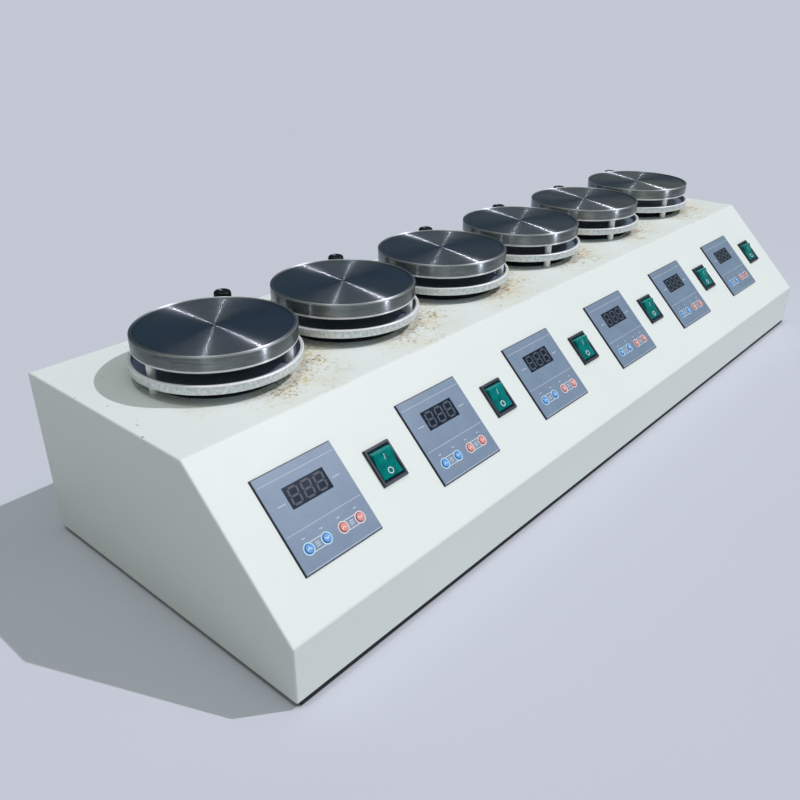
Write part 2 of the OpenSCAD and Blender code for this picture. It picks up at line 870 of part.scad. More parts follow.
module speed_knob(i) {
    r = knob_d / 2;
    color([0.08, 0.08, 0.09]) at_knob(i) difference() {
        union() {
            difference() {
                rotate_extrude() polygon(rounded(
                    [[0, knob_foot], [r, knob_foot], [r, knob_top], [0, knob_top]],
                    [0, 0, knob_round, 0], fold_steps));
                rod(knob_cavity_d, knob_foot - through, cavity_top);
            }
            rod(shaft_d, -sheet_t - pot_h + pot_floor + move_clear, cavity_top + through);
        }
        for (k = [0:knob_flutes - 1]) rotate(k * 360 / knob_flutes) translate([r + flute_d / 4, 0, 0])
            rod(flute_d, cavity_top, knob_top + through);
    }
}

// Mains inlet, looking at the rear wall: +X right, +Y up, +Z out of the wall

module mouth_outline() {
    x = mouth_w / 2;
    y = mouth_h / 2;
    polygon([
        [-x, -y], [x, -y], [x, y - mouth_chamfer], [x - mouth_chamfer, y],
        [mouth_chamfer - x, y], [-x, y - mouth_chamfer]
    ]);
}

module power_inlet() {
    shell_w = mouth_w + 2 * socket_wall;
    shell_h = mouth_h + 2 * socket_wall;
    color([0.12, 0.12, 0.13]) difference() {
        at_inlet() {
            bevelled_block(inlet_w, inlet_h, 0, inlet_flange_t, 1);
            box(shell_w, shell_h, inlet_flange_t - socket_depth, through / 2);
        }
        at_inlet() translate([0, 0, inlet_flange_t - mouth_depth])
            linear_extrude(mouth_depth + through) mouth_outline();
        at_inlet() for (p = pin_spots) translate([p.x, p.y, 0])
            box(pin_size.x + 2 * run_clear, pin_size.y + 2 * run_clear,
                inlet_flange_t - socket_depth - through, inlet_flange_t);
        at_inlet_screws() {
            rod(inlet_screw_d + 2 * seat_clear, -through, inlet_flange_t + through);
            translate([0, 0, inlet_flange_t - inlet_head_h])
                cylinder(d1 = inlet_screw_d, d2 = inlet_head_d, h = inlet_head_h);
        }
    }
}

module inlet_pins() {
    floor_z = inlet_flange_t - mouth_depth;
    color("gold") at_inlet() for (p = pin_spots) translate([p.x, p.y, 0])
        box(pin_size.x, pin_size.y, floor_z - socket_wall - pin_tail, floor_z + pin_l);
}

housing_cover();
base_plate();
rubber_feet();
base_screws();
hot_plates();
heaters();
heat_trays();
spacer_posts();
stir_motors();
motor_brackets();
controller_bezels();
face_films();
display_windows();
controller_boards();
switch_frames();
speed_pots();
power_inlet();
inlet_pins();
for (i = [1:station_count]) {
    rocker(i);
    speed_knob(i);
    drive_magnet(i);
    for (k = [0:len(key_names) - 1])
        key_cap(i, k);
}
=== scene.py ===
"""Six-place hotplate stirrer: finishes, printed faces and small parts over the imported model."""

import logging
import math
from dataclasses import dataclass
from enum import Enum
from typing import Any, Callable, Sequence

import bmesh
import bpy
from bpy.types import Material, Object
from mathutils import Matrix, Vector


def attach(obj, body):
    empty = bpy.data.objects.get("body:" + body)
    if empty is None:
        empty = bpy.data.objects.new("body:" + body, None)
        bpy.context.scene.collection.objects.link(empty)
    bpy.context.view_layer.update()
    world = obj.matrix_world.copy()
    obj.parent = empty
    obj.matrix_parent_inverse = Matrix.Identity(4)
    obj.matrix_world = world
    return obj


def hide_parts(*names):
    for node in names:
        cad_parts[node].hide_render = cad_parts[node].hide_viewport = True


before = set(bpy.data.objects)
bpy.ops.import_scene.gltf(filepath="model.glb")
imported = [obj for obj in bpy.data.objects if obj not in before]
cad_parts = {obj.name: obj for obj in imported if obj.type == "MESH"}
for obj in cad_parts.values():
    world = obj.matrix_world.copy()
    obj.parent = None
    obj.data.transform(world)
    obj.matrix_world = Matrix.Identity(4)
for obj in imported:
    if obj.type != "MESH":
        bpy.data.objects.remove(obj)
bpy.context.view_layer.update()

log = logging.getLogger("stirrer")

MM = 0.001
ROOT = "console"
STATIONS = 6
PLATE_PITCH = 136.5 * MM
PLATE_Y = 42.25 * MM
DECK_Z = 144.5 * MM

# What counts as the same point, as facing up and as the middle of a round piece
NEAR = 1e-6
WELD = 1e-7
LEVEL = 0.99
CENTRE = 1.0 * MM

# How flat faces are joined, edges rounded and faces shaded
BEVEL_STEPS = 3
SOFT_STEPS = 2
FLAT_ANGLE = math.radians(1)
SHARP_ANGLE = math.radians(28)
SMOOTH_ANGLE = math.radians(35)

Span = tuple[float, float]
Way = tuple[float, float, float]
Colour = tuple[float, float, float]


def operator(operation: str, swapped: bool = False) -> Callable[..., "Sock"]:
    """Make a method that adds one Math node.

    Args:
        operation: The node's operation.
        swapped: Whether the operand comes before the output.

    Returns:
        The method, for an output and at most one operand, a socket or a number.
    """
    def method(sock: "Sock", *operand: Any) -> "Sock":
        """Add the node and give its value."""
        values = (*operand, sock) if swapped else (sock, *operand)
        return sock.graph.node("ShaderNodeMath", {"operation": operation}, dict(enumerate(values)))
    return method


class Sock:
    """One output of a shader graph, with arithmetic that adds Math nodes."""

    __add__ = __radd__ = operator("ADD")
    __sub__ = operator("SUBTRACT")
    __rsub__ = operator("SUBTRACT", swapped=True)
    __mul__ = operator("MULTIPLY")
    __truediv__ = operator("DIVIDE")
    __pow__ = operator("POWER")
    fraction = operator("FRACT")
    size = operator("ABSOLUTE")
    least = operator("MINIMUM")
    most = operator("MAXIMUM")

    def __init__(self, graph: "Graph", socket: bpy.types.NodeSocket) -> None:
        """Keep the graph and the socket."""
        self.graph = graph
        self.socket = socket

    def ease(self, start: float, end: float) -> "Sock":
        """A smooth step.

        Args:
            start: The value that gives 0.
            end: The value that gives 1.

        Returns:
            A mask from 0 to 1.
        """
        settings = {"interpolation_type": "SMOOTHSTEP", "clamp": True}
        inputs = {"Value": self, "From Min": start, "From Max": end}
        return self.graph.node("ShaderNodeMapRange", settings, inputs)


class Graph:
    """The node tree of a material or of the room."""

    def __init__(self, owner: Material | bpy.types.World) -> None:
        """Empty the owner's tree."""
        self.owner = owner
        owner.use_nodes = True
        self.tree = owner.node_tree
        self.tree.nodes.clear()

    @classmethod
    def material(cls, name: str) -> "Graph":
        """Start an empty material."""
        return cls(bpy.data.materials.new(name))

    def node(self, kind: str, settings: dict[str, Any] | None = None,
             inputs: dict[Any, Any] | None = None, output: Any = 0) -> Sock:
        """Add one node.

        Args:
            kind: The node's type.
            settings: Its properties.
            inputs: Its sockets, by name or number, with a value or a link for each.
            output: The output to give back.

        Returns:
            That output.
        """
        made = self.tree.nodes.new(kind)
        for key, value in (settings or {}).items():
            setattr(made, key, value)
        for key, value in (inputs or {}).items():
            if isinstance(value, Sock):
                self.tree.links.new(value.socket, made.inputs[key])
            else:
                socket = made.inputs[key]
                short = socket.type == "RGBA" and len(value) == 3
                socket.default_value = (*value, 1.0) if short else value
        return Sock(self, made.outputs[output]) if len(made.outputs) else Sock(self, made.inputs[0])

    def point(self) -> Sock:
        """Object coordinates."""
        return self.node("ShaderNodeTexCoord", output="Object")

    def axes(self) -> tuple[Sock, Sock, Sock]:
        """The three object coordinates, one by one."""
        point = self.point()
        return tuple(self.node("ShaderNodeSeparateXYZ", None, {0: point}, n) for n in range(3))

    def round_plate(self, shift: float = 0.0) -> tuple[Sock, Sock, Sock]:
        """The way from a plate's axis.

        Args:
            shift: How far each plate's share of the row is moved to the right, in pitches.

        Returns:
            The way along X, the way along Y and the distance.
        """
        x, y, _ = self.axes()
        across = ((x / PLATE_PITCH - shift).fraction() - 0.5 + shift) * PLATE_PITCH
        deep = y - PLATE_Y
        return across, deep, (across * across + deep * deep) ** 0.5

    def stretched(self, scale: Sequence[float]) -> Sock:
        """Object coordinates, scaled along each axis."""
        return self.node("ShaderNodeMapping", None, {"Vector": self.point(), "Scale": scale})

    def noise(self, scale: float, detail: float = 2.0, roughness: float = 0.5,
              vector: Sock | None = None) -> Sock:
        """Add a noise.

        Args:
            scale: Its scale, in cells to a metre.
            detail: How many octaves it has.
            roughness: How strong the finer octaves are.
            vector: Where it is read, object coordinates if not given.

        Returns:
            Its value, from 0 to 1.
        """
        inputs = {"Vector": vector or self.point(), "Scale": scale, "Detail": detail,
                  "Roughness": roughness}
        return self.node("ShaderNodeTexNoise", None, inputs)

    def cells(self, scale: float) -> Sock:
        """Distance to the nearest of a scatter of points."""
        return self.node("ShaderNodeTexVoronoi", None, {"Vector": self.point(), "Scale": scale})

    def blend(self, factor: Any, first: Any, second: Any) -> Sock:
        """Mix two colours.

        Args:
            factor: The share of the second.
            first: A colour or a link.
            second: A colour or a link.

        Returns:
            The mixed colour.
        """
        return self.node("ShaderNodeMix", {"data_type": "RGBA"},
                         {"Factor": factor, 6: first, 7: second}, 2)

    def bump(self, height: Sock, depth: float, strength: float) -> Sock:
        """Turn a height into a normal.

        Args:
            height: The height, from 0 to 1.
            depth: What a height of 1 stands for, in metres.
            strength: The share of it that is used.

        Returns:
            The normal.
        """
        return self.node("ShaderNodeBump", None,
                         {"Strength": strength, "Distance": depth, "Height": height}, "Normal")

    def surface(self, **inputs: Any) -> Material:
        """Close the material with a Principled surface.

        Args:
            inputs: The surface's sockets, with _ for each space in a name.

        Returns:
            The material.
        """
        named = {key.replace("_", " "): value for key, value in inputs.items()}
        shader = self.node("ShaderNodeBsdfPrincipled", None, named)
        self.node("ShaderNodeOutputMaterial", None, {"Surface": shader})
        return self.owner


@dataclass(frozen=True)
class PaintedSteel:
    """Cream enamel on sheet steel, with baked-on spills round the plates.

    Each pair of lengths is where a mask starts and where it is full. The spills lie to one side of
    each plate, spill_way, in a share of the row that is moved by spill_shift pitches, and fade in
    over the first part of the row.
    """

    name: str = "cream_paint"
    low: Colour = (0.761, 0.818, 0.772)
    high: Colour = (0.818, 0.868, 0.837)
    spill: Colour = (0.34, 0.20, 0.08)
    ochre: Colour = (0.56, 0.46, 0.18)
    haze: Colour = (0.70, 0.67, 0.54)
    char: Colour = (0.09, 0.08, 0.07)
    wide_spill: Span = (118.0 * MM, 72.0 * MM)
    tight_spill: Span = (86.0 * MM, 67.0 * MM)
    spill_way: Span = (0.8, 0.6)
    spill_shift: float = 0.25
    foot: Span = (34.0 * MM, 8.0 * MM)
    ends: Span = (439.0 * MM, 442.0 * MM)
    deck: Span = (DECK_Z - 1.2 * MM, DECK_Z - 0.3 * MM)
    row_start: float = -STATIONS / 2 * PLATE_PITCH
    fade_in: float = 20.0 * MM

    def material(self) -> Material:
        """Build the enamel."""
        g = Graph.material(self.name)
        x, _, z = g.axes()
        across, deep, reach = g.round_plate(self.spill_shift)
        deck = z.ease(*self.deck)
        inner = x.ease(self.row_start, self.row_start + self.fade_in)
        side = across * self.spill_way[0] - deep * self.spill_way[1]
        side = (side / reach).ease(0.05, 0.85) * deck * inner
        wide, tight = reach.ease(*self.wide_spill), reach.ease(*self.tight_spill)
        blots = g.noise(48, 7, 0.66).ease(0.47, 0.64)
        crumbs = g.noise(300, 5, 0.74).ease(0.50, 0.58)
        grit = g.cells(120).ease(0.15, 0.07) * g.noise(19, 3).ease(0.46, 0.60) * deck * wide
        spots = side * (wide * crumbs * blots + tight * (crumbs * 0.75 + blots * 0.2)).least(0.95)
        film = side * wide * g.noise(21, 5, 0.62).ease(0.34, 0.62) * 0.7
        foot = z.ease(*self.foot) * x.size().ease(*self.ends)
        specks = foot * g.cells(150).ease(0.16, 0.06) * g.noise(24, 3).ease(0.46, 0.62) * 0.7
        body = g.blend(g.noise(7, 4, 0.55), self.low, self.high)
        dusty = g.blend(film, body, self.haze)
        darkening = g.blend(g.noise(75, 3).ease(0.42, 0.62), self.ochre, self.spill)
        colour = g.blend((spots + specks).least(0.9), dusty, darkening)
        colour = g.blend(grit * 0.8, colour, self.char)
        rough = 0.48 + g.noise(60, 3) * 0.12 + (spots + film) * 0.3
        relief = g.noise(520, 2, 0.4) * 0.6 + spots * 0.8
        return g.surface(Base_Color=colour, Roughness=rough, Coat_Weight=0.05, Coat_Roughness=0.3,
                         Specular_IOR_Level=0.35, Normal=g.bump(relief, 0.10 * MM, 0.55))


@dataclass(frozen=True)
class TurnedSteel:
    """Steel faced on a lathe: grooves round the top and the wall, heat tints, painted highlight and
    shade.

    The normal leans by up to groove on the face, score on the wall and bead on the rim. Few
    grooves lean far, fewer with a higher rarity. There are fineness grooves and ring_scale tints
    to a metre.
    """

    name: str = "turned_steel"
    face: Colour = (0.310, 0.335, 0.365)
    tint: Colour = (0.375, 0.380, 0.375)
    rim: Colour = (0.70, 0.73, 0.75)
    wall: Colour = (0.180, 0.204, 0.220)
    scorch: Colour = (0.22, 0.18, 0.14)
    # Colour of the painted shade line at the inner edge of the rim
    shade: Colour = (0.03, 0.035, 0.045)
    # Colour of the painted highlight on the rounded edges
    wear_and_highlight: Colour = (0.93, 0.94, 0.93)
    face_z: float = 179.8 * MM
    top_z: float = 180.2 * MM
    low_z: float = 168.0 * MM
    rim_in: float = 59.3 * MM
    round_in: float = 61.7 * MM
    groove: float = 1.15
    rarity: int = 5
    score: float = 0.75
    bead: float = 0.75
    fineness: float = 90000.0
    ring_scale: float = 620.0

    def material(self) -> Material:
        """Build the steel."""
        g = Graph.material(self.name)
        z = g.axes()[2]
        plate = g.round_plate()
        reach = plate[2]
        top = z.ease(self.face_z - 0.5 * MM, self.face_z - 0.05 * MM)
        rim = reach.ease(self.rim_in - 1.0 * MM, self.rim_in + 0.5 * MM)
        outer = reach.ease(self.round_in, self.round_in + 0.2 * MM)
        upper = z.ease(self.top_z - 0.9 * MM, self.top_z - 0.6 * MM)
        lower = z.ease(self.low_z + 2.0 * MM, self.low_z + 1.6 * MM)
        # Painted highlight: the rounded top and bottom edges turn pale and less metallic, broken up
        # by noise
        edge = outer * (upper * 0.35 + lower) * (0.70 + g.noise(90, 3) * 0.45).least(1.0)
        # Painted shade: a dark line where the face meets the rim, standing in for the step's shadow
        corner = (reach - self.rim_in + 0.2 * MM).size().ease(0.6 * MM, 0.2 * MM)
        outward = g.node("ShaderNodeCombineXYZ", None, {0: reach * self.ring_scale})
        rings = g.noise(1.0, 3, 0.6, outward)
        face = g.blend(g.noise(20, 4, 0.6).ease(0.42, 0.70), self.face, self.tint)
        face = g.blend(rings.ease(0.45, 0.80) * 0.10 + rim * 0.8, face, self.rim)
        scored = g.noise(60, 4, 0.7, g.stretched((1, 1, 14))).ease(0.35, 0.75)
        side = g.blend(scored * 0.25, self.wall, self.rim)
        heated = g.noise(30, 4, 0.6, g.stretched((1, 1, 0.3))).ease(0.50, 0.68)
        side = g.blend(heated * 0.4, side, self.scorch)
        colour = g.blend(corner * 0.6, g.blend(outer, face, side), self.shade)
        # The painted edge highlight sets the colour and lowers the metallic below
        return g.surface(Base_Color=g.blend(edge, colour, self.wear_and_highlight),
                         Roughness=0.20 + g.noise(55, 4) * 0.08 + edge * 0.1 + rim * top * 0.40,
                         Metallic=1 - edge * 0.75, Anisotropic=0.98, Anisotropic_Rotation=0.25,
                         Normal=self.grooves(g, plate, z, top, rim))

    def grooves(self, g: Graph, plate: tuple[Sock, Sock, Sock], z: Sock, top: Sock,
                rim: Sock) -> Sock:
        """Lean the normal from groove to groove, and roll it across the rim.

        Args:
            g: The material's graph.
            plate: The way from the plate's axis along X and along Y, and the distance.
            z: The height.
            top: 1 on the top face and 0 on the wall.
            rim: 1 on the rim of the top face.

        Returns:
            The leaning normal.
        """
        across, deep, reach = plate
        half = (self.round_in - self.rim_in) / 2
        bulge = ((reach - self.rim_in - half) / half).most(-1.0).least(1.0) * self.bead
        face, wall = (g.node("ShaderNodeTexWhiteNoise", {"noise_dimensions": "1D"},
                             {"W": place * self.fineness}) for place in (reach, z))
        flat = ((face * 2 - 1) ** self.rarity * self.groove * (1 - rim) + bulge * rim) * top
        upright = (wall * 1.35 - 0.35) * self.score * (1 - top)
        parts = (across / reach * flat, deep / reach * flat, upright)
        lean = g.node("ShaderNodeCombineXYZ", None, dict(enumerate(parts)))
        plain = g.node("ShaderNodeNewGeometry", output="Normal")
        total = g.node("ShaderNodeVectorMath", {"operation": "ADD"}, {0: plain, 1: lean})
        return g.node("ShaderNodeVectorMath", {"operation": "NORMALIZE"}, {0: total})


@dataclass(frozen=True)
class Metal:
    """A plain metal with a mottled surface.

    Fields are the two tones, the size of the mottling in cells to a metre, the roughness, the
    stretch of the grain along each axis and the depth of the relief.
    """

    name: str
    dark: Colour
    light: Colour
    scale: float
    rough: float
    grain: Way = (1.0, 1.0, 1.0)
    relief: float = 0.05 * MM
    metallic: float = 1.0

    def material(self) -> Material:
        """Build the metal."""
        g = Graph.material(self.name)
        spread = g.stretched(self.grain)
        mottle = g.noise(self.scale, 5, 0.65, spread)
        fine = g.noise(self.scale * 6, 3, 0.6, spread)
        colour = g.blend(mottle.ease(0.30, 0.72), self.dark, self.light)
        rough = self.rough + (mottle - 0.5) * 0.25
        return g.surface(Base_Color=colour, Metallic=self.metallic, Roughness=rough,
                         Normal=g.bump(fine, self.relief, 0.5))


@dataclass(frozen=True)
class SpunAluminium:
    """Spun aluminium, mottled on its rim, with painted shade inside and a painted highlight on its
    top edge.
    """

    name: str = "tray_aluminium"
    dark: Colour = (0.56, 0.60, 0.61)
    light: Colour = (0.88, 0.91, 0.91)
    # Colour of the painted shade on the tray's floor under the plate
    darkening: Colour = (0.28, 0.36, 0.48)
    # Colour of the painted highlight on the rim's top edge
    wear_and_highlight: Colour = (0.96, 0.97, 0.97)
    rim_in: float = 62.6 * MM
    top_z: float = 160.0 * MM

    def material(self) -> Material:
        """Build the aluminium."""
        g = Graph.material(self.name)
        reach = g.round_plate()[2]
        mottle = g.noise(420, 5, 0.65)
        # Painted shade: the floor inside the rim turns dark blue-grey, standing in for the shadow
        # under the plate
        inside = reach.ease(self.rim_in + 0.6 * MM, self.rim_in) * (0.8 + g.noise(60, 4) * 0.2)
        # Painted highlight: the top edge of the rim turns pale and less metallic, broken up by the
        # mottle
        edge = g.axes()[2].ease(self.top_z - 1.1 * MM, self.top_z - 0.6 * MM) * (1 - inside)
        rim = g.blend(mottle.ease(0.30, 0.72), self.dark, self.light)
        rim = g.blend(edge * (0.65 + mottle * 0.6).least(1.0), rim, self.wear_and_highlight)
        return g.surface(Base_Color=g.blend(inside, rim, self.darkening), Metallic=0.6 - edge * 0.35,
                         Roughness=0.28 + mottle * 0.25,
                         Normal=g.bump(g.noise(2500, 3, 0.6), 0.06 * MM, 0.5))


@dataclass(frozen=True)
class Moulding:
    """A moulded plastic or rubber with a fine grain and a little handling shine.

    Fields are the two tones, the roughness, the grain in cells to a metre, the depth of its relief,
    the clear coat and the shine.
    """

    name: str
    colour: Colour
    # The paler tone of handling wear
    wear_and_highlight: Colour
    rough: float
    grain: float = 1400.0
    relief: float = 0.04 * MM
    coat: float = 0.0
    shine: float = 0.5

    def material(self) -> Material:
        """Build the plastic."""
        g = Graph.material(self.name)
        wear = g.noise(85, 4, 0.6).ease(0.42, 0.74)
        colour = g.blend(wear * 0.7, self.colour, self.wear_and_highlight)
        rough = self.rough + (g.noise(40, 3) - 0.5) * 0.16
        return g.surface(Base_Color=colour, Roughness=rough, Coat_Weight=self.coat,
                         Coat_Roughness=0.08, Specular_IOR_Level=self.shine,
                         Normal=g.bump(g.noise(self.grain, 2), self.relief, 0.5))


@dataclass(frozen=True)
class FaceFilm:
    """Grey-blue polyester film, fine-textured, a little rubbed."""

    name: str = "grey_film"
    low: Colour = (0.156, 0.228, 0.330)
    high: Colour = (0.186, 0.270, 0.372)

    def material(self) -> Material:
        """Build the film."""
        g = Graph.material(self.name)
        tone = g.noise(70, 4, 0.6) * 0.6 + g.noise(900, 2) * 0.4
        rough = 0.40 + (g.noise(30, 3) - 0.5) * 0.2
        colour = g.blend(tone.ease(0.3, 0.7), self.low, self.high)
        return g.surface(Base_Color=colour, Roughness=rough,
                         Normal=g.bump(g.noise(2600, 2), 0.02 * MM, 0.5))


@dataclass(frozen=True)
class TintedRocker:
    """Clear green moulding over a dark core, with a painted highlight towards its raised end."""

    name: str = "green_rocker"
    deep: Colour = (0.0005, 0.140, 0.134)
    light: Colour = (0.001, 0.235, 0.215)
    # Colour of the painted highlight at the raised end
    pale: Colour = (0.045, 0.340, 0.320)
    up: Span = (0.711, 0.703)
    highlight_end: Span = (8.0 * MM, 9.4 * MM)

    def material(self) -> Material:
        """Build the tinted plastic."""
        g = Graph.material(self.name)
        _, y, z = g.axes()
        # Painted highlight: paler towards the raised end, as if it caught the light
        end = (y * self.up[0] + z * self.up[1]).ease(*self.highlight_end)
        cloud = g.noise(130, 3, 0.5).ease(0.30, 0.72)
        colour = g.blend(end * 0.8, g.blend(cloud, self.deep, self.light), self.pale)
        return g.surface(Base_Color=colour, Roughness=0.22 + g.noise(60, 3) * 0.12,
                         Specular_IOR_Level=0.08, Subsurface_Weight=0.12,
                         Subsurface_Radius=(0.3, 1.0, 0.8), Subsurface_Scale=1.5 * MM,
                         Normal=g.bump(g.noise(400, 2), 0.03 * MM, 0.4))


@dataclass(frozen=True)
class Ink:
    """Screen-printed ink, thin in places."""

    name: str
    colour: Colour
    thin: Colour

    def material(self) -> Material:
        """Build the ink."""
        g = Graph.material(self.name)
        patch = g.noise(1600, 3, 0.6).ease(0.45, 0.8)
        return g.surface(Base_Color=g.blend(patch * 0.6, self.colour, self.thin),
                         Roughness=0.45 + g.noise(300, 2) * 0.1)


@dataclass(frozen=True)
class Paving:
    """The pale floor."""

    name: str = "pale_floor"
    low: Colour = (0.585, 0.606, 0.664)
    high: Colour = (0.603, 0.624, 0.682)

    def material(self) -> Material:
        """Build the floor."""
        g = Graph.material(self.name)
        return g.surface(Base_Color=g.blend(g.noise(2.2, 4), self.low, self.high), Roughness=0.9,
                         Specular_IOR_Level=0.0)


class Kit:
    """Every finish of the part, built once."""

    def __init__(self) -> None:
        """Build the materials."""
        self.paint = PaintedSteel().material()
        self.plate = TurnedSteel().material()
        self.tray = SpunAluminium().material()
        self.post = Metal("post_steel", (0.80, 0.80, 0.81), (0.92, 0.92, 0.93), 240.0, 0.30,
                          (1.0, 1.0, 4.0), 0.02 * MM, metallic=0.25).material()
        self.zinc_sheet = Metal("zinc_sheet", (0.42, 0.44, 0.45), (0.60, 0.62, 0.63), 34.0, 0.40,
                                relief=0.02 * MM).material()
        self.zinc_steel = Metal("zinc_steel", (0.50, 0.51, 0.50), (0.68, 0.69, 0.67), 300.0, 0.32,
                                relief=0.02 * MM).material()
        self.brass = Metal("pin_brass", (0.62, 0.60, 0.55), (0.76, 0.74, 0.68), 400.0, 0.24,
                           (1.0, 4.0, 1.0), 0.01 * MM).material()
        self.motor = Metal("motor_case", (0.20, 0.20, 0.21), (0.32, 0.32, 0.33), 60.0, 0.46,
                           (1.0, 1.0, 3.0), 0.03 * MM).material()
        self.magnet = Metal("magnet_bar", (0.24, 0.24, 0.25), (0.36, 0.36, 0.37), 160.0, 0.48,
                            relief=0.04 * MM, metallic=0.8).material()
        self.mica = Metal("mica_element", (0.07, 0.07, 0.075), (0.13, 0.13, 0.13), 220.0, 0.55,
                          (1.0, 1.0, 5.0), metallic=0.2).material()
        self.black = Moulding("black_moulding", (0.009, 0.014, 0.030), (0.022, 0.031, 0.058),
                              0.46).material()
        self.knob = Moulding("black_knob", (0.003, 0.004, 0.006), (0.010, 0.011, 0.014), 0.34,
                             900.0, 0.05 * MM, shine=0.2).material()
        self.rubber = Moulding("black_rubber", (0.018, 0.018, 0.018), (0.045, 0.044, 0.042), 0.78,
                               700.0, 0.10 * MM).material()
        # Painted shadow: the black strip under the lip
        self.shadow_strip = Moulding("shadow_strip_black", (0.006, 0.009, 0.014), (0.012, 0.017, 0.024), 0.72,
                             700.0, 0.05 * MM).material()
        self.board = Moulding("circuit_board", (0.015, 0.10, 0.045), (0.03, 0.15, 0.07), 0.45,
                              500.0, 0.05 * MM).material()
        self.window = Moulding("dark_window", (0.004, 0.013, 0.034), (0.010, 0.022, 0.050), 0.20,
                               300.0, 0.005 * MM, shine=0.25).material()
        self.blue = Moulding("blue_key", (0.070, 0.335, 0.76), (0.130, 0.45, 0.86), 0.34,
                             1200.0, 0.02 * MM, coat=0.2).material()
        self.red = Moulding("red_key", (0.79, 0.255, 0.205), (0.86, 0.36, 0.31), 0.34,
                            1200.0, 0.02 * MM, coat=0.2).material()
        self.film = FaceFilm().material()
        self.rocker = TintedRocker().material()
        self.white_ink = Ink("white_ink", (0.74, 0.77, 0.80), (0.52, 0.57, 0.64)).material()
        self.pale_ink = Ink("pale_ink", (0.50, 0.57, 0.66), (0.36, 0.43, 0.52)).material()
        self.blue_ink = Ink("blue_ink", (0.46, 0.72, 0.92), (0.34, 0.58, 0.80)).material()
        self.red_ink = Ink("red_ink", (0.86, 0.64, 0.61), (0.74, 0.50, 0.47)).material()
        self.ghost = Ink("unlit_segment", (0.034, 0.052, 0.068), (0.022, 0.036, 0.052)).material()
        # Painted shade: the dark ring on the deck under each tray
        self.gasket = Moulding("gasket_fibre", (0.030, 0.034, 0.042), (0.060, 0.062, 0.066), 0.8,
                               500.0, 0.15 * MM, shine=0.2).material()
        self.floor = Paving().material()


